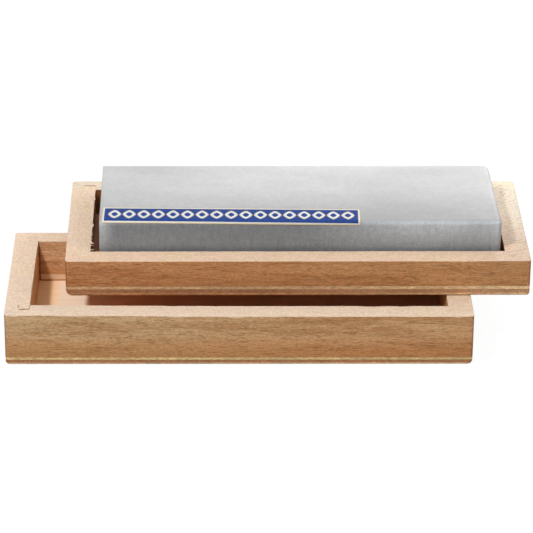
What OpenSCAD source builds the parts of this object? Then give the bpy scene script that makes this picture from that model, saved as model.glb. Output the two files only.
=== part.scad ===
// Sharpening whetstone: a natural bench stone kept in a two-part wooden box.
// The shallow base holds the stone and lies across the deeper lid, which is turned upside down.
// The trays are modelled with their open side up, so each panel is at the bottom of its tray.

/* [Stone] */
// Length of the stone along its honing face
stone_l = 150.6; // [120:0.1:200]
// Width of the stone
stone_w = 50.8; // [40:0.1:70]
// Height of the stone
stone_h = 22; // [18:0.5:26]
// Rounding of the stone's two long front edges and of the right end's top edge
stone_front_r = 1.8; // [0.5:0.1:3]
// Rounding of the stone's two long back edges
stone_back_r = 0.6; // [0.2:0.1:2]
// Amount by which the right end leans in from its top to its bottom
stone_end_lean = 0.5; // [0:0.1:3]
// Amount by which the right end falls back from its front to its back
stone_end_skew = 0.8; // [0:0.1:2]
// Rounding of the stone's worn back right corner
worn_corner_r = 4; // [1:0.1:5]
// Rounding of the stone's front right corner
right_corner_r = 1.2; // [0.2:0.1:3]
// Rounding of the stone's two upright corners at the left
left_corner_r = 0.6; // [0.2:0.1:1.5]

/* [Label] */
// Length of the paper label
label_l = 96.5; // [60:0.5:110]
// Thickness of the paper
label_t = 0.12; // [0.1:0.01:0.3]
// Distance from the stone's left end to the label's back left corner
label_inset = 1.2; // [0.5:0.1:3]
// Distance from the stone's front to the label's back left corner
label_back = 12; // [8:0.1:25]
// Turn of the label seen from above, clockwise
label_turn = 1.15; // [0:0.05:2]
// Drop of the label's lower edge down the rounded front edge, at its left end
lap_left = 0.8; // [0.3:0.1:2]
// The same drop at the label's right end
lap_right = 1.8; // [0.3:0.1:2]

/* [Box] */
// Play between the stone and the end walls, both ends together
end_play = 4.4; // [3.4:0.1:8]
// Part of that play at the stone's left end
left_gap = 3.3; // [0.4:0.1:4.2]
// Play between the stone and the long walls, both sides together
side_play = 4.8; // [2.1:0.1:8]
// Part of that play in front of the stone
front_gap = 1.8; // [0.4:0.1:4]
// Thickness of the front walls
front_wall_t = 8.6; // [6:0.1:12]
// Thickness of the back walls
back_wall_t = 7.8; // [6:0.1:12]
// Thickness of the end walls
end_wall_t = 9.1; // [6:0.1:12]
// Rounding of the upright outer corners
corner_r = 1.2; // [0.5:0.1:2]
// Rounding of the lower outer edges at the front and back
long_foot_r = 0.8; // [0.3:0.1:2]
// Rounding of the lower outer edges at the ends
end_foot_r = 1.8; // [0.5:0.1:2.5]

/* [Corner joints] */
// Thickness of the tongue on each end wall
tongue_t = 4.4; // [2:0.1:5.5]
// Depth of the tongue in the long wall
tongue_l = 3.9; // [2:0.1:5]
// Rounding of the tongue's tip
tongue_r = 0.8; // [0.2:0.1:0.9]

/* [Lid] */
// Height of the lid's walls, without its panel
lid_wall_h = 17; // [14:0.5:30]
// Thickness of the lid's plywood panel
lid_panel_t = 3; // [3:0.1:6]

/* [Base] */
// Height of the base's walls, without its panel
base_wall_h = 10.4; // [6:0.1:16]
// Thickness of the base's plywood panel
base_panel_t = 4; // [3:0.1:6]
// How far the base lies to the right of the lid's left end
base_x = 22; // [12:0.1:40]
// How far the base lies behind the lid's front
base_y = 16.7; // [10:0.1:30]
// Turn of the base on the lid, anticlockwise
base_turn = 0.16; // [0:0.01:1]

/* [Hidden] */
$fn = 64;

// Outside size of both trays
box_l = stone_l + end_play + 2 * end_wall_t;
box_d = stone_w + side_play + front_wall_t + back_wall_t;
lid_h = lid_wall_h + lid_panel_t;

// Shares of a panel's thickness taken by its face ply and by its core
face_share = 0.3;
core_share = 1 - 2 * face_share;

// The frame's origin is under the middle of the whole object
frame_x = (base_x + box_l * cos(base_turn)) / 2;
frame_y = (base_y + box_l * sin(base_turn) + box_d * cos(base_turn)) / 2;

// Reach of a cutter beyond the face that it cuts
past = 1;

// ---------- places ----------

module on_lid() {
    translate([-frame_x, -frame_y, 0]) children();
}

module on_base() {
    on_lid()
        translate([base_x, base_y, lid_h])
            rotate([0, 0, base_turn])
                children();
}

module on_base_panel() {
    on_base()
        translate([end_wall_t + left_gap, front_wall_t + front_gap, base_panel_t])
            children();
}

// ---------- outlines ----------

// What a rounding of radius r takes off a corner that lies at the origin
module corner_waste(r) {
    difference() {
        translate([-past, -past]) square(r + past);
        translate([r, r]) circle(r);
    }
}

// Rectangle with a rounding of its own on each corner
module rounded_rect(l, w, front_left, front_right, back_left, back_right) {
    difference() {
        square([l, w]);
        corner_waste(front_left);
        translate([l, 0]) mirror([1, 0]) corner_waste(front_right);
        translate([0, w]) mirror([0, 1]) corner_waste(back_left);
        translate([l, w]) rotate(180) corner_waste(back_right);
    }
}

// Section with its two lower corners rounded
module foot_section(w, h, r) {
    difference() {
        square([w, h]);
        corner_waste(r);
        translate([w, 0]) mirror([1, 0]) corner_waste(r);
    }
}

// Outline of a tray seen from above
module tray_plan() {
    rounded_rect(box_l, box_d, corner_r, corner_r, corner_r, corner_r);
}

// Both tongues of the left end wall, as one bar that runs through to both long walls
module tongue_plan() {
    reach = box_d - front_wall_t - back_wall_t + 2 * tongue_l;
    translate([end_wall_t - tongue_t, front_wall_t - tongue_l])
        rounded_rect(tongue_t, reach, tongue_r, tongue_r, tongue_r, tongue_r);
}

// ---------- walls and panels, with the tray's lower front left corner at the origin ----------

// Extrudes a section drawn in depth and height along the tray's length
module along_length(l) {
    rotate([90, 0, 90]) linear_extrude(l) children();
}

// Extrudes a section drawn in length and height through the tray's depth
module through_depth(d) {
    translate([0, d, 0]) rotate([90, 0, 0]) linear_extrude(d) children();
}

// Long wall between two depths, with a groove for a tongue near each end
module long_wall(h, y_from, y_to) {
    linear_extrude(h)
        difference() {
            intersection() {
                tray_plan();
                translate([0, y_from]) square([box_l, y_to - y_from]);
            }
            tongue_plan();
            translate([box_l, 0]) mirror([1, 0]) tongue_plan();
        }
}

module front_wall(h) long_wall(h, 0, front_wall_t);

module back_wall(h) long_wall(h, box_d - back_wall_t, box_d);

// End wall that stands between the long walls and is let into them by its tongues
module left_end(h) {
    linear_extrude(h)
        union() {
            translate([0, front_wall_t]) square([end_wall_t, box_d - front_wall_t - back_wall_t]);
            tongue_plan();
        }
}

module right_end(h) {
    translate([box_l, 0, 0]) mirror([1, 0, 0]) left_end(h);
}

// Whole panel, rounded along its lower edges and at its corners
module panel(t) {
    intersection() {
        linear_extrude(t) tray_plan();
        along_length(box_l) foot_section(box_d, t, long_foot_r);
        through_depth(box_d) foot_section(box_l, t, end_foot_r);
    }
}

// One layer of a panel, between two shares of its thickness
module ply(t, low_share, high_share) {
    intersection() {
        panel(t);
        translate([-past, -past, t * low_share])
            cube([box_l + 2 * past, box_d + 2 * past, t * (high_share - low_share)]);
    }
}

module outer_ply(t) ply(t, 0, face_share);

module core_ply(t) ply(t, face_share, face_share + core_share);

module inner_ply(t) ply(t, face_share + core_share, 1);

// ---------- stone ----------

// The stone's cross section, in depth and height, grown by a skin
module stone_section(skin) {
    front_r = stone_front_r + skin;
    back_r = stone_back_r + skin;
    translate([-skin, -skin])
        rounded_rect(stone_w + 2 * skin, stone_h + 2 * skin, front_r, back_r, front_r, back_r);
}

// The stone seen from the front, in length and height
module stone_front() {
    difference() {
        polygon([[0, 0], [stone_l - stone_end_lean, 0], [stone_l, stone_h], [0, stone_h]]);
        translate([stone_l, stone_h]) rotate(180) corner_waste(stone_front_r);
    }
}

// The stone seen from above, in length and depth
module stone_plan() {
    intersection() {
        rounded_rect(stone_l, stone_w, left_corner_r, right_corner_r, left_corner_r, worn_corner_r);
        polygon([[0, 0], [stone_l, 0], [stone_l - stone_end_skew, stone_w], [0, stone_w]]);
    }
}

module stone() {
    color("lightgray")
        on_base_panel()
            intersection() {
                along_length(stone_l) stone_section(0);
                through_depth(stone_w) stone_front();
                linear_extrude(stone_h) stone_plan();
            }
}

// ---------- label ----------

// Sheet of paper wrapped around the whole stone, in depth and height
module paper_section() {
    difference() {
        stone_section(label_t);
        stone_section(0);
    }
}

module label() {
    color("royalblue")
        on_base_panel()
            intersection() {
                along_length(stone_l) paper_section();
                // lower edge, on a slant down the rounded front edge
                through_depth(label_back)
                    polygon([[0, stone_h - lap_left], [label_l, stone_h - lap_right],
                        [stone_l, stone_h - lap_right], [stone_l, stone_h + past], [0, stone_h + past]]);
                // back edge and both ends, turned about the back left corner
                translate([label_inset, label_back, 0])
                    rotate([0, 0, -label_turn])
                        translate([0, -2 * label_back, 0])
                            cube([label_l, 2 * label_back, stone_h + past]);
            }
}

// ---------- base ----------

module base_front_wall() {
    color("burlywood") on_base() translate([0, 0, base_panel_t]) front_wall(base_wall_h);
}

module base_back_wall() {
    color("burlywood") on_base() translate([0, 0, base_panel_t]) back_wall(base_wall_h);
}

module base_left_end() {
    color("wheat") on_base() translate([0, 0, base_panel_t]) left_end(base_wall_h);
}

module base_right_end() {
    color("wheat") on_base() translate([0, 0, base_panel_t]) right_end(base_wall_h);
}

module base_inner_ply() {
    color("bisque") on_base() inner_ply(base_panel_t);
}

module base_core_ply() {
    color("sienna") on_base() core_ply(base_panel_t);
}

module base_outer_ply() {
    color("bisque") on_base() outer_ply(base_panel_t);
}

// ---------- lid ----------

module lid_front_wall() {
    color("tan") on_lid() translate([0, 0, lid_panel_t]) front_wall(lid_wall_h);
}

module lid_back_wall() {
    color("tan") on_lid() translate([0, 0, lid_panel_t]) back_wall(lid_wall_h);
}

module lid_left_end() {
    color("wheat") on_lid() translate([0, 0, lid_panel_t]) left_end(lid_wall_h);
}

module lid_right_end() {
    color("wheat") on_lid() translate([0, 0, lid_panel_t]) right_end(lid_wall_h);
}

module lid_inner_ply() {
    color("bisque") on_lid() inner_ply(lid_panel_t);
}

module lid_core_ply() {
    color("sienna") on_lid() core_ply(lid_panel_t);
}

module lid_outer_ply() {
    color("bisque") on_lid() outer_ply(lid_panel_t);
}

stone();
label();
base_front_wall();
base_back_wall();
base_left_end();
base_right_end();
base_inner_ply();
base_core_ply();
base_outer_ply();
lid_front_wall();
lid_back_wall();
lid_left_end();
lid_right_end();
lid_inner_ply();
lid_core_ply();
lid_outer_ply();
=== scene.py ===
"""Looks of a sharpening whetstone in its two-part beech box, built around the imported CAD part."""

import math

import bpy
from mathutils import Matrix, Vector, noise


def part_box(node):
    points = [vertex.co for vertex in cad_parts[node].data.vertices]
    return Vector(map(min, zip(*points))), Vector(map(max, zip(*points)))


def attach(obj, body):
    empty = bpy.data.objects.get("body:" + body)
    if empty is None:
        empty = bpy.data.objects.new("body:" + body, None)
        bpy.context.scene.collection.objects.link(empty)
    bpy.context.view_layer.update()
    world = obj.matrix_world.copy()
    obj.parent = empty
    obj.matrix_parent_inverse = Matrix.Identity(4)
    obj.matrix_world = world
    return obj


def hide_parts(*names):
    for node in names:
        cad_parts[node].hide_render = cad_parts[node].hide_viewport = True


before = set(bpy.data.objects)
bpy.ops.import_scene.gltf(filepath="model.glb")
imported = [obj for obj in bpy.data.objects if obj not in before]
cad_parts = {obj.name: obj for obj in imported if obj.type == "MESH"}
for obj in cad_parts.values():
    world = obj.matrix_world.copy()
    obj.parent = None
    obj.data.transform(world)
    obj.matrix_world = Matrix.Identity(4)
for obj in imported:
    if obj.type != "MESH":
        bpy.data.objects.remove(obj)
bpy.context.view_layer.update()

# One millimetre in Blender's metres. Lengths are in millimetres unless a name ends in _M.
MM = 0.001

# ---------- camera ----------

CAMERA_TARGET = (-0.64, -14.59, 25.86)
CAMERA_DISTANCE = 1094.0
CAMERA_PITCH = 26.015
CAMERA_YAW = 1.142
CAMERA_ROLL = 0.498
SENSOR = 36.0
LENS = 196.37
CLIP_START_M = 0.05
CLIP_END_M = 50


def make_camera():
    """Camera at a shallow look-down angle, square to the long side, without shift or depth of field."""
    pitch, yaw, roll = (math.radians(a) for a in (CAMERA_PITCH, CAMERA_YAW, CAMERA_ROLL))
    ahead = Vector((math.sin(yaw), math.cos(yaw), 0))
    level = Vector((math.cos(yaw), -math.sin(yaw), 0))
    forward = ahead * math.cos(pitch) - Vector((0, 0, math.sin(pitch)))
    upright = level.cross(forward)
    right = level * math.cos(roll) + upright * math.sin(roll)
    up = upright * math.cos(roll) - level * math.sin(roll)
    data = bpy.data.cameras.new("camera")
    data.sensor_width = SENSOR
    data.lens = LENS
    data.clip_start = CLIP_START_M
    data.clip_end = CLIP_END_M
    camera = bpy.data.objects.new("camera", data)
    bpy.context.scene.collection.objects.link(camera)
    turn = Matrix((right, up, -forward)).transposed().to_4x4()
    place = Vector(CAMERA_TARGET) * MM - forward * CAMERA_DISTANCE * MM
    camera.matrix_world = Matrix.Translation(place) @ turn
    bpy.context.scene.camera = camera


# ---------- sizes read from the frame ----------

def node_box(node, place):
    """Lowest and highest corner of a CAD node in the axes of place."""
    inverse = place.inverted()
    points = [inverse @ v.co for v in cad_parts[node].data.vertices]
    low = Vector([min(p[k] for p in points) for k in range(3)])
    high = Vector([max(p[k] for p in points) for k in range(3)])
    return low, high


lid_front_low, lid_front_high = (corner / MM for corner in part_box("lid_front_wall"))
lid_back_low, lid_back_high = (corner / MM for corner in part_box("lid_back_wall"))
lid_end_low, lid_end_high = (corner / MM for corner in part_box("lid_left_end"))

BOX_L = lid_front_high.x - lid_front_low.x
BOX_D = lid_back_high.y - lid_front_low.y
FRONT_WALL_T = lid_front_high.y - lid_front_low.y
BACK_WALL_T = lid_back_high.y - lid_back_low.y
END_WALL_T = lid_end_high.x - lid_end_low.x
TONGUE_L = lid_front_high.y - lid_end_low.y
TONGUE_T = 4.4
TONGUE_R = 0.8
# Roundings of a tray's upright corners, and under its long sides
CORNER_R = 1.2
LONG_FOOT_R = 0.8
# Rounding under the left and the right end of each tray
END_FOOT_R = {"lid": (1.2, 1.8), "base": (2.4, 0.7)}


def tray_place(tray):
    """Matrix from a tray's own millimetres, at its lower front left corner, to the row frame."""
    low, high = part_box(tray + "_front_wall")
    turn = math.asin(max(0.0, (high.y - low.y) / MM - FRONT_WALL_T) / BOX_L)
    left = low.x + FRONT_WALL_T * MM * math.sin(turn)
    origin = Vector((left, low.y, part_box(tray + "_outer_ply")[0].z))
    return Matrix.Translation(origin) @ Matrix.Rotation(turn, 4, "Z") @ Matrix.Scale(MM, 4)


PLACES = {"lid": tray_place("lid"), "base": tray_place("base")}

# ---------- stone and label sizes ----------

stone_low, stone_high = node_box("stone", PLACES["base"])
STONE_L = stone_high.x - stone_low.x
STONE_W = stone_high.y - stone_low.y
STONE_H = stone_high.z - stone_low.z
STONE_PLACE = PLACES["base"] @ Matrix.Translation(stone_low)
# Roundings of the stone: its long front and back arrises, its upright corners and its right top
STONE_FRONT_R = 1.8
STONE_BACK_R = 0.6
WORN_CORNER_R = 2.8
RIGHT_CORNER_R = 2.0
RIGHT_TOP_R = 2.0
LEFT_CORNER_R = 0.6
END_ARRIS_R = 0.4
# How far the right end leans in at its foot, and falls back towards its rear
END_LEAN = 0.5
END_SKEW = 0.8
# How deep handling has worn the arrises
WEAR = 0.12
# Spacing of points around the stone and along it, steps in an arris, and insets of an end's rings
SECTION_STEP = 0.8
STATION_STEP = 2.0
SECTION_ARC = 8
INSETS = (0, 0.06, 0.15, 0.3, 0.5, 0.8, 1.2, 1.7, 2.3, 3.0, 4.5, 7.0, 10.0)

LABEL_UV = "label_mm"
LABEL_L = 96.5
LABEL_W = 12.0
LABEL_T = 0.12
LABEL_GRID = (120, 36)
# Where the label's back left corner lies on the stone, and how far the label is turned
LABEL_INSET = 1.2
LABEL_BACK = 12.0
LABEL_TURN = math.radians(1.15)
# Drop of its lower edge down the rounded front arris, at each end
LAP_LEFT = 0.8
LAP_RIGHT = 1.8
# Its printed pattern: cream border, and a row of lozenges
LABEL_BORDER = 0.8
LOZENGE_START = 1.9
LOZENGES = 17
LOZENGE_PITCH = (LABEL_L - 2 * LOZENGE_START) / LOZENGES
LOZENGE_HEIGHT = 0.49
LOZENGE_L = 4.9
LOZENGE_W = 7.3
LOZENGE_CURVE = 1.35

# ---------- node trees ----------


def linear(red, green, blue):
    """Linear colour of an sRGB colour given from 0 to 255."""
    def channel(value):
        value /= 255
        return value / 12.92 if value <= 0.04045 else ((value + 0.055) / 1.055) ** 2.4
    return (channel(red), channel(green), channel(blue))


# How far a seed of one moves a texture along each axis
SEED_SHIFT = (37.1, 53.7, 71.3)
# Numbers of a mix node's two colour inputs and of its colour output
MIX_FIRST = 6
MIX_SECOND = 7
MIX_RESULT = 2
# Range that most of a noise's values lie in
NOISE_RANGE = (0.3, 0.7)


class Shader:
    """A material's node tree, with one short method for each kind of node."""

    def __init__(self, name, roughness, specular):
        self.material = bpy.data.materials.new(name)
        self.material.use_nodes = True
        self.tree = self.material.node_tree
        self.surface = self.tree.nodes["Principled BSDF"]
        self.surface.inputs["Roughness"].default_value = roughness
        self.surface.inputs["Specular IOR Level"].default_value = specular

    def put(self, socket, value):
        """Links a node's output to a socket, or sets the socket to a constant."""
        if isinstance(value, bpy.types.NodeSocket):
            self.tree.links.new(value, socket)
        elif socket.type == "RGBA":
            socket.default_value = (*value, 1)
        else:
            socket.default_value = value

    def node(self, kind, **settings):
        """New node of a kind, with its settings."""
        made = self.tree.nodes.new("ShaderNode" + kind)
        for key, value in settings.items():
            setattr(made, key, value)
        return made

    def math(self, operation, first, second=0.0, clamp=False):
        """Result of a math node."""
        made = self.node("Math", operation=operation, use_clamp=clamp)
        self.put(made.inputs[0], first)
        self.put(made.inputs[1], second)
        return made.outputs[0]

    def vector(self, operation, first, second):
        """Result of a vector math node."""
        made = self.node("VectorMath", operation=operation)
        self.put(made.inputs[0], first)
        self.put(made.inputs[1], second)
        return made.outputs["Value" if operation == "LENGTH" else "Vector"]

    def times(self, first, second):
        """Product of two numbers."""
        return self.math("MULTIPLY", first, second)

    def plus(self, first, second):
        """Sum of two numbers."""
        return self.math("ADD", first, second)

    def minus(self, first, second):
        """Difference of two numbers."""
        return self.math("SUBTRACT", first, second)

    def tint(self, colour, by):
        """Product of two colours."""
        return self.vector("MULTIPLY", colour, by)

    def split(self, vector):
        """The three parts of a vector."""
        made = self.node("SeparateXYZ")
        self.put(made.inputs[0], vector)
        return made.outputs

    def millimetres(self, seed=0):
        """Object coordinates in millimetres, shifted by a seed so that each piece has its own figure."""
        place = self.node("TexCoord").outputs["Object"]
        scaled = self.scale(place, 1 / MM)
        return self.vector("ADD", scaled, [seed * k for k in SEED_SHIFT]) if seed else scaled

    def facing(self):
        """Unit normal of the surface, before any bump."""
        return self.split(self.node("NewGeometry").outputs["True Normal"])

    def noise(self, vector, scale, detail=2.0, roughness=0.5, distortion=0.0):
        """Noise from 0 to 1 over a vector that is stretched by a scale for each axis."""
        made = self.node("TexNoise")
        self.put(made.inputs["Vector"], self.vector("MULTIPLY", vector, scale))
        made.inputs["Scale"].default_value = 1
        made.inputs["Detail"].default_value = detail
        made.inputs["Roughness"].default_value = roughness
        made.inputs["Distortion"].default_value = distortion
        return made.outputs["Fac"]

    def step(self, value, start, end, low=0.0, high=1.0):
        """Smooth change from low to high while the value goes from start to end."""
        made = self.node("MapRange", interpolation_type="SMOOTHSTEP")
        for socket, given in zip(made.inputs, (value, start, end, low, high)):
            self.put(socket, given)
        return made.outputs[0]

    def vary(self, value, low, high):
        """Smooth change from low to high over the usual range of a noise's value."""
        return self.step(value, *NOISE_RANGE, low, high)

    def mix(self, factor, first, second):
        """Colour that goes from first to second with a factor."""
        made = self.node("Mix", data_type="RGBA")
        self.put(made.inputs["Factor"], factor)
        self.put(made.inputs[MIX_FIRST], first)
        self.put(made.inputs[MIX_SECOND], second)
        return made.outputs[MIX_RESULT]

    def scale(self, colour, factor):
        """Colour times a number."""
        made = self.node("VectorMath", operation="SCALE")
        self.put(made.inputs[0], colour)
        self.put(made.inputs["Scale"], factor)
        return made.outputs[0]

    def finish(self, colour, height, depth):
        """Connects the colour, and a bump whose full height is depth."""
        self.put(self.surface.inputs["Base Color"], colour)
        bump = self.node("Bump")
        bump.inputs["Strength"].default_value = 1
        bump.inputs["Distance"].default_value = depth * MM
        self.put(bump.inputs["Height"], height)
        self.put(self.surface.inputs["Normal"], bump.outputs[0])
        return self.material


# ---------- colours ----------

STONE_GREY = (0.434, 0.434, 0.434)
# Cooler tint of the stone's front face, carrying its painted shade
FRONT_GREY = (0.955, 1.0, 1.045)
# Tones of the boards: faces that look up, sides, dark grain, and the sides' foot. The sides' deeper
# orange is partly the wood's own and partly painted shade.
LID_TONES = (linear(207, 183, 163), linear(226, 191, 147), linear(187, 136, 88), linear(202, 138, 82))
BASE_TONES = (linear(207, 182, 161), linear(202, 149, 100), linear(178, 118, 72), linear(198, 140, 90))
UNTINTED = (1, 1, 1)
# Painted light on a board's faces that look up, as tints at its front and at its back: rims towards the
# back, where more light fell, are painted paler and whiter
RIM_LIGHT_TINTS = {
    "base_front_wall": ((0.99, 0.95, 0.92),) * 2,
    "base_left_end": ((1.07, 1.06, 1.06), (1.07, 1.08, 1.1)),
    "base_back_wall": ((1.0, 1.1, 1.14),) * 2,
    "base_right_end": ((0.74, 0.75, 0.78), (0.86, 1.02, 1.14)),
    "lid_front_wall": ((0.96, 0.98, 1.0),) * 2,
    "lid_left_end": ((1.0, 1.0, 1.02), (1.1, 1.1, 1.1)),
    "lid_right_end": ((0.96, 0.96, 0.96), (0.98, 0.98, 0.98)),
    "lid_back_wall": ((1.13, 1.14, 1.14),) * 2,
}
# Painted light and shade on them also, at the left and at the right: the ringed end is painted paler at
# its inner side, where the stone's shadow falls, and the base's front wall darker at its right end, as
# painted shade against a highlight
RIM_CROSS_LIGHT_TINTS = {
    "base_right_end": ((1.24, 1.16, 1.1), (1.0, 1.0, 1.0)),
    "base_front_wall": ((1.0, 1.0, 1.0), (0.79, 0.8, 0.83)),
}
# Shares of a board between which its painted cross tint changes, and where the painted light on the
# ringed board's rim stops changing
RIM_FADE = (0.87, 0.96)
LIGHT_TINT_REACH = 0.8
# How the sides of a board are toned, at the left and at the right
SIDE_TINTS = {
    "lid_front_wall": ((0.96, 0.97, 0.95), (0.98, 0.88, 0.8)),
    "base_front_wall": ((0.98, 0.94, 0.96), (1.04, 1.09, 1.12)),
}
# How the edge of a ply is toned, from a share of its length and at the right
PLY_TINT_START = 0.35
PLY_TINTS = {
    "base_inner_ply": ((0.94, 0.92, 0.9), (1.22, 1.32, 1.36)),
    "base_core_ply": ((1.0, 1.0, 1.0), (1.3, 1.5, 1.65)),
    "base_outer_ply": ((0.98, 0.9, 0.8), (1.2, 1.45, 1.65)),
}
# How the faces inside a tray are toned: the base's are darkened, as painted shade in the narrow gaps
# around the stone
INNER_TONES_AND_SHADE = {
    "base": (0.5, 0.42, 0.38),
    "lid": (1.0, 1.0, 1.0),
    "lid_left_end": (1.14, 1.03, 0.94),
    "lid_back_wall": (1.1, 1.05, 1.1),
}
# Tints of late wood, of the boards' upright corners, of full year rings, and painted shade in the saw
# cut
LATE_TINT = (0.84, 0.77, 0.7)
CORNER_TINT = (0.6, 0.48, 0.44)
RING_TINT = (0.72, 0.42, 0.3)
CUT_SHADE_TINT = (0.9, 0.7, 0.6)
PALE_STRIPE = linear(238, 213, 180)
LID_FLAT = linear(232, 208, 184)
# Flat colour of the base's floor, darkened as painted shade in the gaps around the stone
SHADED_BASE_FLAT = linear(182, 128, 98)
# Painted shadow colour on the lid's floor: where its left wall's shadow falls, and where the resting
# base's shadow falls, at its left and middle
WALL_SHADOW_TINT = (1.03, 0.86, 0.64)
BASE_SHADOW_TINTS = ((0.92, 0.61, 0.47), (0.8, 0.6, 0.49))
# Edge colours of a panel's inner and outer face ply
LID_PLY_EDGES = (linear(223, 191, 135), linear(222, 180, 130))
BASE_PLY_EDGES = (linear(216, 177, 133), linear(209, 156, 109))
CORE_LIGHT = linear(186, 133, 94)
CORE_DARK = linear(162, 110, 74)
# The board whose end grain shows year rings on top, and the middle of its tree in the row frame
RING_CENTRES = {"base_right_end": (70.0, 62.0)}
RING_PITCH = 2.1
RING_DEPTH = 0.6
# Dark and light ink, the paper's rim and face, and the lozenges' fill and outline
INK = (linear(10, 41, 100), linear(22, 62, 132))
PAPER = (linear(188, 164, 128), linear(203, 200, 187))
LOZENGE_TONES = (linear(194, 195, 196), linear(186, 172, 140))

# ---------- materials ----------

GRAIN_AXES = {"x": (1, 0, 0), "z": (0, 0, 1)}
# Growth lines across the whole range of the noise that bends them
YEARS = 5.5
# How deep the ray flecks darken a side
RAY_DEPTH = 0.36


def stretched(grain, along, across):
    """Scale of a noise that runs along the grain: its frequencies with and across it, per millimetre."""
    return tuple(along if axis else across for axis in GRAIN_AXES[grain])


def year_rings(s, place, centre):
    """Dark lines of late wood on end grain, as broken arcs about a point in the row frame."""
    x, y, _ = s.split(place)
    reach = s.node("CombineXYZ")
    s.put(reach.inputs[0], s.minus(x, centre[0]))
    s.put(reach.inputs[1], s.minus(y, centre[1]))
    radius = s.vector("LENGTH", reach.outputs[0], (0, 0, 0))
    wobble = s.times(s.noise(place, (0.12, 0.12, 0.02), 3), 2.0)
    turns = s.plus(s.math("DIVIDE", radius, RING_PITCH), wobble)
    line = s.step(s.math("FRACT", turns), 0.55, 0.9)
    broken = s.step(s.noise(place, (0.5, 0.5, 0.1), 2), 0.45, 0.62)
    return s.times(line, broken)


def late_wood(s, place, grain):
    """Broken dark line at the end of each year's growth, from 0 to 1."""
    bend = s.noise(place, stretched(grain, 0.016, 0.2), 3, 0.45, 0.3)
    growth = s.math("FRACT", s.times(bend, YEARS))
    line = s.times(s.step(growth, 0.5, 0.88), s.step(growth, 1.0, 0.92))
    return s.times(line, s.step(s.noise(place, stretched(grain, 0.14, 0.8), 2), 0.36, 0.6))


def upright_corner(s):
    """1 where the surface turns between a side and an end, on a board's rounded upright corner."""
    turned = s.math("ABSOLUTE", s.facing()[0])
    return s.times(s.step(turned, 0.45, 0.8), s.step(turned, 0.995, 0.95))


def between_ends(s, node, axis, tints, start_share=0.0, end_share=1.0):
    """Tint that changes along an axis between two shares of a node's length, if tints has it."""
    if node not in tints:
        return UNTINTED
    low, high = (corner[axis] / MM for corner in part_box(node))
    start, end = (low + (high - low) * share for share in (start_share, end_share))
    return s.mix(s.step(s.split(s.millimetres())[axis], start, end), *tints[node])


def rim_light_tint(s, node):
    """Painted light on a board's faces that look up, as a tint. The ringed end's front tongue has the
    tint of its wall.
    """
    ringed_end = node in RING_CENTRES
    fade = (0.0, 1.0) if ringed_end else RIM_FADE
    lengthwise = between_ends(s, node, 1, RIM_LIGHT_TINTS, 0.0, LIGHT_TINT_REACH if ringed_end else 1.0)
    tint = s.tint(lengthwise, between_ends(s, node, 0, RIM_CROSS_LIGHT_TINTS, *fade))
    if not ringed_end:
        return tint
    wall = "base_front_wall"
    wall_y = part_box(wall)[1].y / MM
    on_wall = s.step(s.split(s.millimetres())[1], wall_y + 0.2, wall_y - 0.2)
    around = [a * b for a, b in zip(RIM_LIGHT_TINTS[wall][0], RIM_CROSS_LIGHT_TINTS[wall][1])]
    return s.mix(on_wall, tint, around)


def beech(node, grain, tones, foot, seed, inward):
    """Planed beech. The tones are of faces that look up, of sides, of dark grain and of the sides' foot;
    the sides' deeper orange is partly the wood's own and partly painted shade.
    Inward is the axis and the sign of the normal of the board's face inside the tray."""
    rim, face, streak, low = tones
    s = Shader(node, 0.62, 0.2)
    own = s.millimetres()
    place = s.millimetres(seed)
    fibre = s.noise(place, stretched(grain, 0.12, 1.7), 5, 0.66)
    band = s.noise(place, stretched(grain, 0.014, 0.22), 2, 0.5, 0.4)
    ray = s.noise(place, stretched(grain, 0.26, 3.0), 2)
    fine = s.noise(place, stretched(grain, 0.7, 3.4), 2, 0.6)
    grit = s.noise(place, (1.3, 0.9, 1.3), 3, 0.8)
    patch = s.noise(place, (0.1, 0.1, 0.1), 3)

    figure = s.step(s.plus(s.times(fibre, 0.5), s.times(band, 0.5)), 0.3, 0.66)
    above_foot = s.minus(s.split(own)[2], foot)
    lowness = s.plus(s.step(above_foot, 0.0, 13.0, 1.0, 0.0), s.minus(band, 0.5))
    lowness = s.math("MULTIPLY", lowness, 0.8, True)
    side = s.mix(lowness, s.mix(figure, streak, face), s.mix(figure, streak, low))
    side = s.scale(side, s.vary(fine, 0.8, 1.18))
    side = s.scale(side, s.vary(grit, 0.93, 1.07))
    flecks = s.step(ray, 0.59, 0.66)
    side = s.scale(side, s.minus(1.0, s.times(flecks, RAY_DEPTH)))
    side = s.mix(late_wood(s, place, grain), side, s.tint(side, LATE_TINT))
    side = s.mix(upright_corner(s), side, s.tint(side, CORNER_TINT))
    side = s.tint(side, between_ends(s, node, 0, SIDE_TINTS))
    side = inner_side(s, node, side, inward, own, above_foot)

    top = s.mix(s.step(patch, 0.35, 0.65), rim, s.tint(rim, (1.0, 1.03, 0.97)))
    top = s.scale(top, s.vary(grit, 0.85, 1.11))
    top = s.scale(top, s.vary(fibre, 0.94, 1.05))
    dots = s.step(s.noise(place, stretched(grain, 0.4, 1.2), 2, 0.6), 0.52, 0.7)
    top = s.mix(dots, top, s.tint(top, (0.92, 0.86, 0.79)))
    # Painted light on the faces that look up
    top = s.tint(top, rim_light_tint(s, node))
    if node in RING_CENTRES:
        drawn = s.times(year_rings(s, own, RING_CENTRES[node]), RING_DEPTH)
        top = s.tint(top, s.mix(drawn, UNTINTED, RING_TINT))

    # Tops take the rim tone and sides the side tone: partly real, partly painted shade on the sides
    colour = s.mix(s.step(s.facing()[2], 0.3, 0.8), side, top)
    height = s.minus(s.plus(fibre, s.times(grit, 0.4)), flecks)
    return s.finish(colour, height, 0.045)


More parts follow.
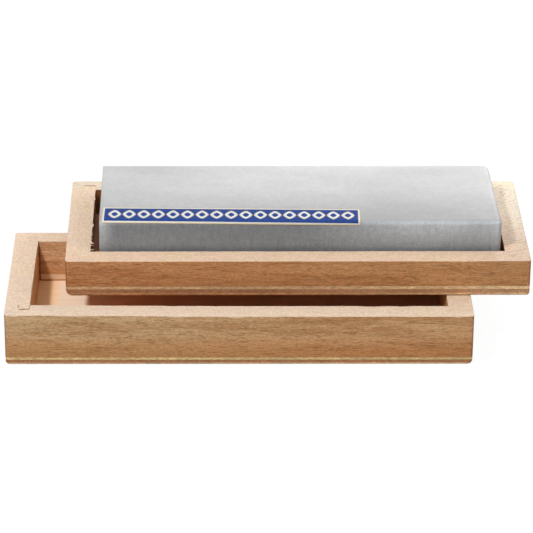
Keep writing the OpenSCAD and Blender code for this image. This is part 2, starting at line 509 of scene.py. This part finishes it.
def inner_side(s, node, side, inward, own, above_foot):
    """A side's colour with what only a board's inner face has: a tone, which in the base is painted
    shade, a stripe with painted shade in the crease at its foot, and painted shade in a cut.
    """
    axis, sign = inward
    inner = s.step(s.times(s.facing()[axis], sign), 0.5, 0.9)
    # Inner faces of the base get painted shade
    inside = s.tint(side, INNER_TONES_AND_SHADE.get(node, INNER_TONES_AND_SHADE[node.split("_")[0]]))
    if node == "lid_back_wall":
        stripe = s.times(s.step(above_foot, 0.55, 0.9), s.step(above_foot, 3.1, 2.5))
        inside = s.mix(s.times(stripe, 0.75), inside, PALE_STRIPE)
        # Painted shade in the crease where the back wall meets the floor
        inside = s.scale(inside, s.step(above_foot, 0.5, 0.2, 1.0, 0.7))
    side = s.mix(inner, side, inside)
    if node in KERFS:
        # Painted shade inside the saw cut
        cut_x, cut_y, _ = PLACES["lid"] @ Vector((KERF_MIDDLE, BOX_D - BACK_WALL_T, 0)) / MM
        x, y, _ = s.split(own)
        beside = s.math("ABSOLUTE", s.minus(x, cut_x))
        depth = s.minus(y, cut_y)
        within = s.times(s.step(beside, KERF_HALF + 0.1, KERF_HALF), s.step(depth, 0.05, 0.3))
        side = s.mix(within, side, s.tint(side, CUT_SHADE_TINT))
    return side


def ply_face(name, flat, edge, seed):
    """Face ply of the panel: its flat side shows long grain, and its edge short soft streaks."""
    s = Shader(name, 0.66, 0.18)
    place = s.millimetres(seed)
    fibre = s.noise(place, stretched("x", 0.05, 1.0), 4, 0.6)
    streak = s.noise(place, (0.45, 0.45, 1.6), 3, 0.65, 0.3)
    drift = s.noise(place, (0.05, 0.05, 0.05), 3)
    side = s.scale(edge, s.step(streak, 0.32, 0.68, 0.72, 1.28))
    side = s.tint(side, between_ends(s, name, 0, PLY_TINTS, PLY_TINT_START))
    side = s.scale(side, s.vary(drift, 0.86, 1.13))
    level = s.scale(flat, s.vary(fibre, 0.95, 1.03))
    if name == "lid_inner_ply":
        level = lid_floor(s, level)
    up = s.facing()[2]
    level_face = s.math("MAXIMUM", s.step(up, 0.5, 0.9), s.step(up, -0.55, -0.9))
    colour = s.mix(level_face, side, level)
    return s.finish(colour, s.plus(fibre, streak), 0.04)


def lid_floor(s, colour):
    """The lid's floor with painted shadow: warmer where its left wall's shadow falls, and darker where
    the resting base's shadow falls.
    """
    x = s.split(s.millimetres())[0]
    wall_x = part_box("lid_left_end")[1].x / MM
    base_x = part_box("base_outer_ply")[0].x / MM
    colour = s.mix(s.step(x, wall_x + 10, wall_x + 5), colour, s.tint(colour, WALL_SHADOW_TINT))
    base_shadow_tint = s.mix(s.step(x, base_x + 20, base_x + 70), *BASE_SHADOW_TINTS)
    return s.mix(s.step(x, base_x + 5, base_x + 8), colour, s.tint(colour, base_shadow_tint))


def ply_core(name, light, dark, seed):
    """Core ply, whose edge shows as darker end grain with soft, uneven ticks."""
    s = Shader(name, 0.75, 0.15)
    place = s.millimetres(seed)
    tick = s.noise(place, (0.8, 0.8, 0.7), 4, 0.65, 0.4)
    drift = s.noise(place, (0.05, 0.05, 0.3), 3)
    colour = s.mix(s.vary(tick, 0.0, 1.0), dark, light)
    colour = s.scale(colour, s.vary(drift, 0.87, 1.1))
    colour = s.tint(colour, between_ends(s, name, 0, PLY_TINTS, PLY_TINT_START))
    return s.finish(colour, tick, 0.06)


def honing_stone():
    """Fine natural novaculite: pale grey and cloudy, with painted light paler towards the back of its
    top, and painted shade on its front face, darker towards the bottom.
    """
    s = Shader("honing_stone", 0.5, 0.3)
    place = s.millimetres()
    x, y, z = s.split(place)
    cloud = s.noise(place, (0.035, 0.07, 0.07), 4, 0.55, 0.6)
    mottle = s.noise(place, (0.45, 0.3, 0.45), 4, 0.65)
    grit = s.noise(place, (1.5, 0.9, 1.5), 3, 0.7)
    streaks = s.noise(place, (1.1, 0.5, 0.16), 4, 0.65)
    left, front, foot = (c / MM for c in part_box("stone")[0])
    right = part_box("stone")[1].x / MM
    label_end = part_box("label")[1].x / MM
    back_share = s.math("DIVIDE", s.minus(y, front), STONE_W)
    height_share = s.math("DIVIDE", s.minus(z, foot), STONE_H)

    # The whole stone: painted light, paler towards the back, and a little darker at the right
    back_light = s.times(s.step(x, left + 10, left + 65), s.step(back_share, 0.4, 1.0))
    back_light = s.times(back_light, s.step(x, left + 90, left + 145, 0.15, 0.06))
    right_share = s.step(back_share, -0.1, 0.4, 0.6, 1.7)
    right_share = s.times(s.step(x, left + 60, left + 135), right_share)
    level = s.times(s.vary(cloud, 0.945, 1.045), s.vary(mottle, 0.96, 1.035))
    level = s.times(level, s.vary(grit, 0.955, 1.04))
    level = s.times(level, s.plus(s.step(back_share, 0.0, 0.6, 0.71, 1.0), back_light))
    level = s.times(level, s.minus(1.0, s.times(right_share, 0.035)))

    # The front face: darker under the label; beyond it, painted light paler towards its top, with a
    # painted highlight at its right end
    forward = s.facing()[1]
    under_label = s.step(x, label_end + 20, label_end - 26)
    under_label = s.times(s.step(x, left - 1, left + 7), under_label)
    open_face = s.step(height_share, 0.45, 0.95, 1.12, 1.76)
    # Painted highlight along the right end of the front face
    open_face = s.times(open_face, s.step(x, right - 5, right - 1, 1.0, 1.22))
    labelled = s.times(under_label, s.step(height_share, 0.6, 0.95, 0.81, 0.735))
    unlabelled = s.times(s.minus(1.0, under_label), open_face)
    tone = s.plus(labelled, unlabelled)
    tone = s.times(tone, s.vary(streaks, 0.94, 1.06))
    tone = s.times(tone, s.vary(grit, 0.93, 1.07))
    # Painted shade on the rounded top arris, dimming its highlight
    tone = s.times(tone, s.step(forward, -0.97, -0.75, 1.0, 0.87))
    shade = s.mix(s.step(forward, -0.3, -0.92), UNTINTED, s.scale(FRONT_GREY, tone))
    colour = s.tint(s.scale(STONE_GREY, level), shade)
    return s.finish(colour, s.plus(mottle, grit), 0.02)


def label_paper():
    """Printed paper: a cream border, a blue band and a row of plain lozenges."""
    s = Shader("label_paper", 0.45, 0.25)
    across = s.node("UVMap", uv_map=LABEL_UV).outputs[0]
    u, v, _ = s.split(across)
    from_end = s.math("MINIMUM", u, s.minus(LABEL_L, u))
    from_side = s.math("MINIMUM", v, s.minus(LABEL_W, v))
    edge = s.math("MINIMUM", from_end, from_side)
    band = s.step(edge, LABEL_BORDER - 0.12, LABEL_BORDER + 0.12)

    cell = s.math("PINGPONG", s.minus(u, LOZENGE_START), LOZENGE_PITCH / 2)
    off_u = s.math("DIVIDE", s.minus(LOZENGE_PITCH / 2, cell), LOZENGE_L / 2)
    off_v = s.math("ABSOLUTE", s.minus(v, LABEL_W * LOZENGE_HEIGHT))
    off_v = s.math("DIVIDE", off_v, LOZENGE_W / 2)
    along = s.math("POWER", s.math("ABSOLUTE", off_u), LOZENGE_CURVE)
    reach = s.plus(along, s.math("POWER", off_v, LOZENGE_CURVE))
    within = s.math("GREATER_THAN", from_end, LOZENGE_START - 0.01)
    mark = s.times(s.step(reach, 1.06, 0.98), within)
    heart = s.step(reach, 0.44, 0.36)
    outline_share = s.minus(1.0, s.step(reach, 0.86, 0.8))

    print_wear = s.noise(across, (1.6, 1.6, 1.6), 4, 0.6)
    blue = s.mix(s.step(print_wear, 0.35, 0.65), *INK)
    cream = s.mix(s.step(edge, 0.1, 0.45), *PAPER)
    shape = s.mix(heart, s.mix(outline_share, *LOZENGE_TONES), blue)
    colour = s.mix(band, cream, s.mix(mark, blue, shape))
    return s.finish(colour, print_wear, 0.01)


# ---------- meshes ----------

ARC_STEPS = 6
# Two lengths nearer than this are the same
CLOSE = 0.01


def outline(corners, step):
    """Points around an anticlockwise outline, from its square corners as (x, y, radius)."""
    points = []
    for i, (x, y, radius) in enumerate(corners):
        here = Vector((x, y))
        after = corners[(i + 1) % len(corners)]
        arriving = (here - Vector(corners[i - 1][:2])).normalized()
        leaving = (Vector(after[:2]) - here).normalized()
        if radius:
            centre = here + (leaving - arriving) * radius
            for k in range(ARC_STEPS + 1):
                angle = math.pi / 2 * k / ARC_STEPS
                back = leaving * radius * math.cos(angle)
                points.append(centre - back + arriving * radius * math.sin(angle))
        else:
            points.append(here)
        start = points[-1]
        stop = Vector(after[:2]) - leaving * after[2]
        spans = max(1, math.ceil((stop - start).length / step))
        points += [start.lerp(stop, k / spans) for k in range(1, spans)]
    return points


def outward(points):
    """Outward normals of an anticlockwise outline, longer at a corner, so that an offset is parallel."""
    normals = []
    for i, here in enumerate(points):
        arriving = (here - points[i - 1]).normalized()
        leaving = (points[(i + 1) % len(points)] - here).normalized()
        first = Vector((arriving.y, -arriving.x))
        second = Vector((leaving.y, -leaving.x))
        normals.append((first + second) / (1 + first.dot(second)))
    return normals


def rounding(radius, distance):
    """How far a rounded edge lies back, at a distance from the face that it starts from."""
    if distance >= radius:
        return 0.0
    return radius - math.sqrt(radius ** 2 - (radius - max(distance, 0.0)) ** 2)


def mesh_piece(name, vertices, faces, place, sharp_angle=30):
    """Object made of vertices in the axes of place, with its corners sharp above an angle."""
    mesh = bpy.data.meshes.new(name)
    mesh.from_pydata([place @ Vector(v) for v in vertices], [], faces)
    mesh.polygons.foreach_set("use_smooth", [True] * len(faces))
    mesh.set_sharp_from_angle(angle=math.radians(sharp_angle))
    mesh.validate()
    piece = bpy.data.objects.new(name, mesh)
    bpy.context.scene.collection.objects.link(piece)
    return piece


def stack(rings):
    """Vertices and faces of a closed skin through rings of equal length, with a cap at each end."""
    count = len(rings[0])
    vertices = [p for ring in rings for p in ring]
    faces = []
    for low in range(0, count * (len(rings) - 1), count):
        for i in range(count):
            after = (i + 1) % count
            faces.append((low + i, low + after, low + count + after, low + count + i))
    faces.append(tuple(reversed(range(count))))
    faces.append(tuple(range(len(vertices) - count, len(vertices))))
    return vertices, faces


def finish_piece(piece, node, body, material):
    """Gives a piece its material, attaches it to its body, and hides the CAD node that it stands for."""
    piece.data.materials.append(material)
    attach(piece, body)
    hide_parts(node)


# ---------- walls ----------

# How far a board's top edge is eased, the same in a seam, and its foot
ARRIS = 0.1
SEAM_EASE = 0.02
FOOT_EASE = 0.06
SHOULDER = END_WALL_T - TONGUE_T
# Half the width of the torn saw cut, its middle along the wall, and the points across it
KERF_HALF = 0.34
KERF_MIDDLE = END_WALL_T + KERF_HALF + 0.04
KERF_POINTS = (KERF_HALF, KERF_HALF - 0.08, 0.0, 0.08 - KERF_HALF, -KERF_HALF)
# Rise of the lid's front left corner, and how far along the tray and across it that fades
LID_WARP = 0.6
LID_WARP_L = 85
LID_WARP_D = 45


def long_wall_corners(thickness, kerf):
    """Outline of a long wall at the front. A kerf adds the points of a cut beside the left joint."""
    groove_y = thickness - TONGUE_L
    right_in, right_out = BOX_L - END_WALL_T, BOX_L - SHOULDER
    cut = [(KERF_MIDDLE + off, thickness, 0) for off in KERF_POINTS] if kerf else []
    return [
        (0, 0, CORNER_R), (BOX_L, 0, CORNER_R), (BOX_L, thickness, 0),
        (right_out, thickness, 0), (right_out, groove_y, TONGUE_R),
        (right_in, groove_y, TONGUE_R), (right_in, thickness, 0), *cut,
        (END_WALL_T, thickness, 0), (END_WALL_T, groove_y, TONGUE_R),
        (SHOULDER, groove_y, TONGUE_R), (SHOULDER, thickness, 0), (0, thickness, 0),
    ]


def left_end_corners(front_gap, back_gap):
    """Outline of the left end wall, whose tongues stop a gap short of the grooves' bottoms."""
    front, back = FRONT_WALL_T, BOX_D - BACK_WALL_T
    near = front - TONGUE_L + front_gap
    far = back + TONGUE_L - back_gap
    return [
        (0, front, 0), (SHOULDER, front, 0), (SHOULDER, near, TONGUE_R),
        (END_WALL_T, near, TONGUE_R), (END_WALL_T, far, TONGUE_R),
        (SHOULDER, far, TONGUE_R), (SHOULDER, back, 0), (0, back, 0),
    ]


def mirrored(corners, end_for_end):
    """An anticlockwise outline reflected across the tray's middle, end for end or front to back."""
    if end_for_end:
        return [(BOX_L - x, y, r) for x, y, r in reversed(corners)]
    return [(x, BOX_D - y, r) for x, y, r in reversed(corners)]


def exposed(x, y):
    """Whether a point of an outline lies on the tray's outside or on the sides of its opening."""
    from_side = min(x, BOX_L - x)
    from_face = min(y, BOX_D - y)
    near_corner = from_side < CORNER_R and from_face < CORNER_R
    inner_x = abs(from_side - END_WALL_T) < CLOSE and FRONT_WALL_T <= y <= BOX_D - BACK_WALL_T
    in_opening = END_WALL_T <= x <= BOX_L - END_WALL_T
    inner_y = in_opening and min(abs(y - FRONT_WALL_T), abs(BOX_D - BACK_WALL_T - y)) < CLOSE
    return near_corner or min(from_side, from_face) < CLOSE or inner_x or inner_y


def arris(point, seed, chip):
    """How far the top edge is eased at a point: least in a seam, and most where a chip has come away."""
    x, y = point
    if not exposed(x, y):
        return SEAM_EASE
    rough = noise.noise(Vector((x * 0.9, y * 0.9, seed)))
    broad = noise.noise(Vector((x * 0.15, y * 0.15, seed + 9.5)))
    return ARRIS * (1 + 0.6 * rough) + chip * max(0.0, broad * 2.2 - 0.3 + 0.5 * rough)


def lid_lift(x, y):
    """How far the lid's rim stands higher at its front left corner, where its front wall has warped."""
    return LID_WARP * max(0.0, 1 - x / LID_WARP_L) * max(0.0, 1 - y / LID_WARP_D)


def wall(node, tray, corners, bottom, top, step, chip, slot, material, seed):
    """Board standing on the panel, with an eased top edge and what its node has of torn wood."""
    points = outline(corners, step)
    normals = outward(points)
    teeth = TEETH.get(node, nothing_torn)
    torn, spacing = KERFS.get(node) or SEAMS.get(node) or (no_cut, top - bottom)
    easing = [arris(p, seed, chip) for p in points]
    tops = [top + (lid_lift(*p) if tray == "lid" else 0.0) for p in points]
    flush = [0.0] * len(points)

    def ring(insets, heights):
        made = []
        for p, n, inset, z in zip(points, normals, insets, heights):
            depth = inset + torn(p.x, p.y, z)
            made.append((p.x - n.x * depth, p.y - n.y * depth, z))
        return made

    spans = math.ceil((top - bottom) / spacing)
    rings = [ring([FOOT_EASE if exposed(*p) else 0.0 for p in points], [bottom] * len(points))]
    rings.append(ring(flush, [bottom + FOOT_EASE] * len(points)))
    for k in range(1, spans):
        rings.append(ring(flush, [bottom + (top - bottom) * k / spans] * len(points)))
    rings.append(ring(flush, [t - e for t, e in zip(tops, easing)]))
    rings.append(ring([e - teeth(*p) for p, e in zip(points, easing)], tops))
    vertices, faces = stack(rings)
    piece = mesh_piece(node + "_board", vertices, faces, PLACES[tray])
    finish_piece(piece, node, tray, material)


# ---------- torn wood ----------

KERF_DEPTH = 0.9
# The cut is closed this near the rim
KERF_BRIDGE = 0.3
TOOTH_PITCH = 3.0
# Length of the smallest tooth, and what the front ones have more
TOOTH_L = 0.6
TOOTH_MORE = 2.0


def nothing_torn(x, y):
    """Teeth of a board that has none."""
    return 0.0


def no_cut(x, y, z):
    """Depth of the cut in a board that has none."""
    return 0.0


def end_teeth(x, y):
    """Teeth of torn fibres on the left end wall's inner top edge, largest towards the front."""
    y_from, y_to = FRONT_WALL_T, BOX_D - BACK_WALL_T
    if abs(x - END_WALL_T) > CLOSE or not y_from < y < y_to:
        return 0.0
    along = y / TOOTH_PITCH + 0.25 * math.sin(y * 1.3)
    tooth = 1 - abs((along % 1.0) * 2 - 1)
    share = (y - y_from) / (y_to - y_from)
    size = TOOTH_L + TOOTH_MORE * max(0.0, 1 - share / 0.5)
    return size * (max(0.0, tooth * 1.7 - 0.7) - 0.25) * min(1.0, (y - y_from) / 1.2)


def corner_kerf(x, y, z):
    """Ragged saw cut in the back wall beside the left end's joint, bridged here and there by fibres."""
    below_rim = lid_front_high.z - z
    on_face = abs(BOX_D - BACK_WALL_T - y) <= CLOSE
    if abs(x - KERF_MIDDLE) > KERF_HALF - 0.02 or not on_face or below_rim < KERF_BRIDGE:
        return 0.0
    opening = 0.45 + 1.9 * noise.noise(Vector((z * 1.3, x * 2, 4.7)))
    return KERF_DEPTH * min(1.0, max(0.05, opening + 0.3 * below_rim / (lid_front_high.z - 3)))


def open_seam(x, y, z):
    """Uneven gap around the tip of the lid's left tongue, in the front wall."""
    if y > FRONT_WALL_T - 0.3:
        return 0.0
    at_tip = y < FRONT_WALL_T - TONGUE_L + TONGUE_R + TIP_GAPS["lid"][0]
    rough = noise.noise(Vector((x * 1.1, y * 1.1, 2.2)))
    return max(-0.4, 1.3 * rough) if at_tip else max(0.0, 0.16 + 0.9 * rough)


TEETH = {"base_left_end": end_teeth}
# How deep a node's sides are cut, and how closely its height is divided for that
KERFS = {"lid_back_wall": (corner_kerf, 0.55)}
SEAMS = {"lid_left_end": (open_seam, 4.0)}
# Usual depth of the chips along a board's top edge, and of the boards that have others
CHIP = 0.12
CHIPS = {"lid_front_wall": 0.55}


# ---------- panels ----------

# Spacing of the points around a ply, and how many steps its thickness has
PLY_STEP = 1.0
PLY_LEVELS = 6


def ply(tray, layer, recess, material, seed):
    """One layer of the panel, rounded where the panel's foot is, with its edge a little uneven."""
    node = f"{tray}_{layer}_ply"
    low, high = node_box(node, PLACES[tray])
    rings = []
    for k in range(PLY_LEVELS + 1):
        z = low.z + (high.z - low.z) * k / PLY_LEVELS
        left, right = (rounding(radius, z) for radius in END_FOOT_R[tray])
        face = rounding(LONG_FOOT_R, z)
        left_r, right_r = (max(CORNER_R - 0.5 * inset, 0.3) for inset in (left, right))
        corners = [
            (left, face, left_r), (BOX_L - right, face, right_r),
            (BOX_L - right, BOX_D - face, right_r), (left, BOX_D - face, left_r),
        ]
        points = outline(corners, PLY_STEP)
        if rings and len(points) != len(rings[0]):
            points = resample(points, len(rings[0]))
        ring = []
        for p, n in zip(points, outward(points)):
            rough = noise.noise(Vector((p.x * 0.6, p.y * 0.6, seed + z * 0.8)))
            back = recess * (0.7 + 0.6 * rough)
            ring.append((p.x - n.x * back, p.y - n.y * back, z))
        rings.append(ring)
    vertices, faces = stack(rings)
    piece = mesh_piece(node + "_layer", vertices, faces, PLACES[tray], 40)
    finish_piece(piece, node, tray, material)


def resample(points, count):
    """The same closed outline with another number of points, starting at the same corner."""
    closed = points + points[:1]
    lengths = [0.0]
    for a, b in zip(closed, closed[1:]):
        lengths.append(lengths[-1] + (b - a).length)
    made, k = [], 0
    for i in range(count):
        target = lengths[-1] * i / count
        while lengths[k + 1] < target:
            k += 1
        share = (target - lengths[k]) / (lengths[k + 1] - lengths[k])
        made.append(closed[k].lerp(closed[k + 1], share))
    return made


# ---------- stone ----------


def section(inset):
    """Ring of points around the stone's section, as (y, z), drawn in by an inset."""
    front, back = (max(radius - 0.9 * inset, 0.2) for radius in (STONE_FRONT_R, STONE_BACK_R))
    w, h = STONE_W - 2 * inset, STONE_H - 2 * inset
    spans_w = math.ceil((STONE_W - 2 * STONE_FRONT_R) / SECTION_STEP)
    spans_h = math.ceil((STONE_H - 2 * STONE_FRONT_R) / SECTION_STEP)
    points = []
    turns = [
        (w - back, back, back), (w - back, h - back, back),
        (front, h - front, front), (front, front, front),
    ]
    for side, (cy, cz, radius) in enumerate(turns):
        for k in range(SECTION_ARC + 1):
            angle = math.pi / 2 * (side - 1 + k / SECTION_ARC)
            points.append(Vector((cy + radius * math.cos(angle), cz + radius * math.sin(angle))))
        after_y, after_z, after_r = turns[(side + 1) % 4]
        angle = math.pi / 2 * side
        start = points[-1]
        stop = Vector((after_y + after_r * math.cos(angle), after_z + after_r * math.sin(angle)))
        spans = spans_w if side % 2 else spans_h
        points += [start.lerp(stop, k / spans) for k in range(1, spans)]
    return [p + Vector((inset, inset)) for p in points]


def end_radius(z, right):
    """Rounding between the stone's side and its end at a height."""
    return END_ARRIS_R if right or min(z, STONE_H - z) < 0.3 else LEFT_CORNER_R


def end_face(y, z, right):
    """X of the end at a place on the section. The right end leans, and its top and sides are rounded."""
    if not right:
        return 0.0
    at_front = y < STONE_W / 2
    upright = rounding(RIGHT_CORNER_R, y) if at_front else rounding(WORN_CORNER_R, STONE_W - y)
    cut = math.hypot(upright, rounding(RIGHT_TOP_R, STONE_H - z))
    return STONE_L - END_LEAN * (1 - z / STONE_H) - END_SKEW * y / STONE_W - cut


def stone_piece():
    """Stone as a skin along its length, closed at each end by rings that turn over the end's arris."""
    rim = section(0)
    ends = {}
    for right in (False, True):
        radii = [end_radius(p.y, right) for p in rim]
        for _ in range(3):
            after = radii[1:] + radii[:1]
            radii = [(radii[i - 1] + 2 * radius + after[i]) / 4 for i, radius in enumerate(radii)]
        rings = []
        for inset in INSETS:
            ring = []
            for p, radius in zip(section(inset), radii):
                back = rounding(radius, inset)
                x = end_face(p.x, p.y, right) + (-back if right else back)
                ring.append(Vector((x, p.x, p.y)))
            rings.append(ring)
        ends[right] = rings
    stations = math.ceil(STONE_L / STATION_STEP)
    rings = list(reversed(ends[False]))
    for k in range(1, stations):
        rings.append([a.lerp(b, k / stations) for a, b in zip(ends[False][0], ends[True][0])])
    rings += ends[True]
    vertices, faces = stack(rings)
    vertices = [worn(v) for v in vertices]
    faces = [tuple(reversed(f)) for f in faces]
    piece = mesh_piece("bench_stone", vertices, faces, STONE_PLACE, 50)
    finish_piece(piece, "stone", "stone", honing_stone())


def worn(v):
    """A point of the stone drawn in a little by handling, mostly along its arrises."""
    middle = Vector((STONE_L, STONE_W, STONE_H)) / 2
    faces_near = sum(min(v[k], 2 * middle[k] - v[k]) < STONE_FRONT_R for k in range(3))
    if faces_near < 2:
        return v
    rough = noise.noise(v * 0.7) + 0.5 * noise.noise(v * 2.1)
    return v + (middle - v).normalized() * WEAR * max(0.0, rough + 0.2)


# ---------- label ----------


def unrolled(lap):
    """Where a lower edge lies on the unrolled skin, given its drop down the rounded front edge."""
    angle = math.acos(1 - lap / STONE_FRONT_R)
    return STONE_FRONT_R - STONE_FRONT_R * angle


def wrapped(x, y, skin):
    """Point of the stone's skin that the unrolled point (x, y) comes to, lifted by skin."""
    if y >= STONE_FRONT_R:
        return (x, y, STONE_H + skin)
    angle = (STONE_FRONT_R - y) / STONE_FRONT_R
    reach = STONE_FRONT_R + skin
    drop = STONE_FRONT_R - reach * math.cos(angle)
    return (x, STONE_FRONT_R - reach * math.sin(angle), STONE_H - drop)


def label_piece():
    """Paper label over the rounded front edge, as a thin closed sheet."""
    columns, rows = LABEL_GRID
    along = Vector((math.cos(LABEL_TURN), -math.sin(LABEL_TURN)))
    down = Vector((-math.sin(LABEL_TURN), -math.cos(LABEL_TURN)))
    corner = Vector((LABEL_INSET, LABEL_BACK))
    low_left, low_right = unrolled(LAP_LEFT), unrolled(LAP_RIGHT)
    grid, uvs = {}, {}
    for i in range(columns + 1):
        u = i / columns
        top = corner + along * LABEL_L * u
        foot_y = low_left + (low_right - low_left) * top.x / LABEL_L
        width = (top.y - foot_y) / -down.y
        for j in range(rows + 1):
            v = j / rows
            flat = top + down * width * v
            edge = i in (0, columns) or j in (0, rows)
            slack = 0.03 * noise.noise(Vector((i * 0.9, j * 0.9, 0))) if edge else 0.0
            grid[i, j] = (flat.x + slack, flat.y + slack)
            uvs[i, j] = (u * LABEL_L, v * LABEL_W)
    vertices, index = [], {}
    for side, skin in ((0, 0.01), (1, LABEL_T)):
        for key, (x, y) in grid.items():
            index[side, key] = len(vertices)
            vertices.append(wrapped(x, y, skin))
    faces, face_uvs = [], []

    def add(*corners):
        faces.append(tuple(index[c] for c in corners))
        face_uvs.extend(uvs[c[1]] for c in corners)

    for i in range(columns):
        for j in range(rows):
            quad = [(i, j), (i, j + 1), (i + 1, j + 1), (i + 1, j)]
            add(*[(1, key) for key in quad])
            add(*[(0, key) for key in reversed(quad)])
    border = [(i, 0) for i in range(columns, 0, -1)] + [(0, j) for j in range(rows)]
    border += [(i, rows) for i in range(columns)] + [(columns, j) for j in range(rows, 0, -1)]
    for a, b in zip(border, border[1:] + border[:1]):
        add((1, a), (0, a), (0, b), (1, b))
    piece = mesh_piece("paper_label", vertices, faces, STONE_PLACE, 40)
    layer = piece.data.uv_layers.new(name=LABEL_UV)
    layer.data.foreach_set("uv", [c for uv in face_uvs for c in uv])
    finish_piece(piece, "label", "stone", label_paper())


# ---------- trays ----------

# How much lower than the long walls the end walls stand
END_WALL_DROP = 0.03
# Gaps at the front and back tips of the left end's tongues, and of the right end's
TIP_GAPS = {"lid": (0.8, 0.1), "base": (0.08, 0.5)}
RIGHT_TIP_GAPS = (0.12, 0.12)
# How far a ply's edge lies back: face plies and the core
FACE_RECESS = 0.02
CORE_RECESS = 0.06
# Spacing of the points around a long wall and an end wall
LONG_STEP = 0.8
END_STEP = 0.35


def tray_pieces(tray, tones, flat, edges, seed):
    """Four boards and three plies of a tray."""
    low, high = node_box(tray + "_front_wall", PLACES[tray])
    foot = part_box(tray + "_front_wall")[0].z / MM
    has_kerf = tray + "_back_wall" in KERFS
    front = long_wall_corners(FRONT_WALL_T, False)
    back = mirrored(long_wall_corners(BACK_WALL_T, has_kerf), False)
    left = left_end_corners(*TIP_GAPS[tray])
    right = mirrored(left_end_corners(*RIGHT_TIP_GAPS), True)
    boards = [
        ("front_wall", front, (1, 1), "_long_wall", "x", LONG_STEP),
        ("back_wall", back, (1, -1), "_long_wall", "x", LONG_STEP),
        ("left_end", left, (0, 1), "_end_wall", "z", END_STEP),
        ("right_end", right, (0, -1), "_end_wall", "z", END_STEP),
    ]
    for k, (part, corners, inward, slot, grain, step) in enumerate(boards, seed):
        node = f"{tray}_{part}"
        material = beech(node, grain, tones, foot, k, inward)
        top = high.z - (END_WALL_DROP if grain == "z" else 0.0)
        wall(node, tray, corners, low.z, top, step, CHIPS.get(node, CHIP), tray + slot, material, k)
    inner = ply_face(tray + "_inner_ply", flat, edges[0], seed + 11)
    core = ply_core(tray + "_core_ply", CORE_LIGHT, CORE_DARK, seed + 10)
    outer = ply_face(tray + "_outer_ply", LID_FLAT, edges[1], seed + 13)
    ply(tray, "inner", FACE_RECESS, inner, seed)
    ply(tray, "core", CORE_RECESS, core, seed + 1)
    ply(tray, "outer", FACE_RECESS, outer, seed + 2)


# ---------- stage and light ----------

FLOOR_SIDES = 64
FLOOR_R = 4000
# How far the floor lies under the object
FLOOR_DROP = 0.02
FLOOR_COLOUR = (0.06, 0.06, 0.06, 1)
SHELL_LEVELS = 13
FLOOR_GLOW = 0.95
SHELL_GLOW = 1.03
LIGHT_FROM_BELOW = 0.57
LIGHT_FROM_ABOVE = 0.4
# Height in the sky over which its two strengths meet
HORIZON = 0.02
# A compact key and four fills: each one's place, what it aims at, its diameter and its power in watts
LIGHTS = {
    "key": ((-283, -264, 642), (0, 0, 30), 80, 4.0),
    "back_fill": ((200, 260, 300), (60, 20, 40), 200, 0.5),
    "side_fill": ((500, 0, 400), (0, 0, 30), 300, 1.08),
    "rim_fill": ((150, 110, 120), (90, 20, 15), 60, 0.07),
    "top_fill": ((0, 0, 900), (0, 0, 30), 600, 0.9),
}


def plain_material(name, colour, glow):
    """Even material that glows white."""
    s = Shader(name, 1.0, 0.0)
    s.surface.inputs["Base Color"].default_value = colour
    s.surface.inputs["Emission Color"].default_value = (1, 1, 1, 1)
    s.surface.inputs["Emission Strength"].default_value = glow
    return s.material


def hide_from_light(thing):
    """Leaves a stage object visible to the camera, and out of the light on the object."""
    for ray in ("diffuse", "glossy", "transmission", "shadow"):
        setattr(thing, "visible_" + ray, False)


def make_stage():
    """Plain pale floor and a surrounding shell of the same white."""
    turns = [2 * math.pi * k / FLOOR_SIDES for k in range(FLOOR_SIDES)]
    ring = [(FLOOR_R * math.cos(turn), FLOOR_R * math.sin(turn), -FLOOR_DROP) for turn in turns]
    floor = mesh_piece("floor", ring, [tuple(range(FLOOR_SIDES))], Matrix.Scale(MM, 4))
    floor.data.materials.append(plain_material("floor", FLOOR_COLOUR, FLOOR_GLOW))
    rings = []
    for level in range(SHELL_LEVELS):
        tilt = math.pi / 2 * level / (SHELL_LEVELS - 0.5)
        share, height = math.cos(tilt), FLOOR_R * math.sin(tilt)
        rings.append([(x * share, y * share, height) for x, y, _ in ring])
    vertices, faces = stack(rings)
    shell = mesh_piece("backdrop", vertices, faces[:-2] + faces[-1:], Matrix.Scale(MM, 4), 60)
    shell.data.materials.append(plain_material("backdrop", (0, 0, 0, 1), SHELL_GLOW))
    for thing in (floor, shell):
        hide_from_light(thing)


def area_light(name, place, target, size, power):
    """Round white light that shines from place to target."""
    data = bpy.data.lights.new(name, "AREA")
    data.shape = "DISK"
    data.size = size * MM
    data.energy = power
    light = bpy.data.objects.new(name, data)
    bpy.context.scene.collection.objects.link(light)
    light.location = Vector(place) * MM
    aim = Vector(target) - Vector(place)
    light.rotation_mode = "QUATERNION"
    light.rotation_quaternion = aim.to_track_quat("-Z", "Y")


def make_light():
    """The lights, and a pale surround."""
    for name, light in LIGHTS.items():
        area_light(name, *light)
    world = bpy.data.worlds.new("surround")
    bpy.context.scene.world = world
    world.use_nodes = True
    tree = world.node_tree
    background = tree.nodes["Background"]
    background.inputs["Color"].default_value = (1, 1, 1, 1)
    direction = tree.nodes.new("ShaderNodeTexCoord").outputs["Generated"]
    axes = tree.nodes.new("ShaderNodeSeparateXYZ")
    strength = tree.nodes.new("ShaderNodeMapRange")
    tree.links.new(direction, axes.inputs[0])
    tree.links.new(axes.outputs[2], strength.inputs[0])
    limits = (-HORIZON, HORIZON, LIGHT_FROM_BELOW, LIGHT_FROM_ABOVE)
    for socket, value in zip(strength.inputs[1:5], limits):
        socket.default_value = value
    tree.links.new(strength.outputs[0], background.inputs["Strength"])


# ---------- scene ----------

# Where the textures of each tray start
LID_SEED = 20
BASE_SEED = 40

make_camera()
bpy.context.scene.view_settings.view_transform = "Standard"
make_stage()
make_light()
tray_pieces("lid", LID_TONES, LID_FLAT, LID_PLY_EDGES, LID_SEED)
tray_pieces("base", BASE_TONES, SHADED_BASE_FLAT, BASE_PLY_EDGES, BASE_SEED)
stone_piece()
label_piece()
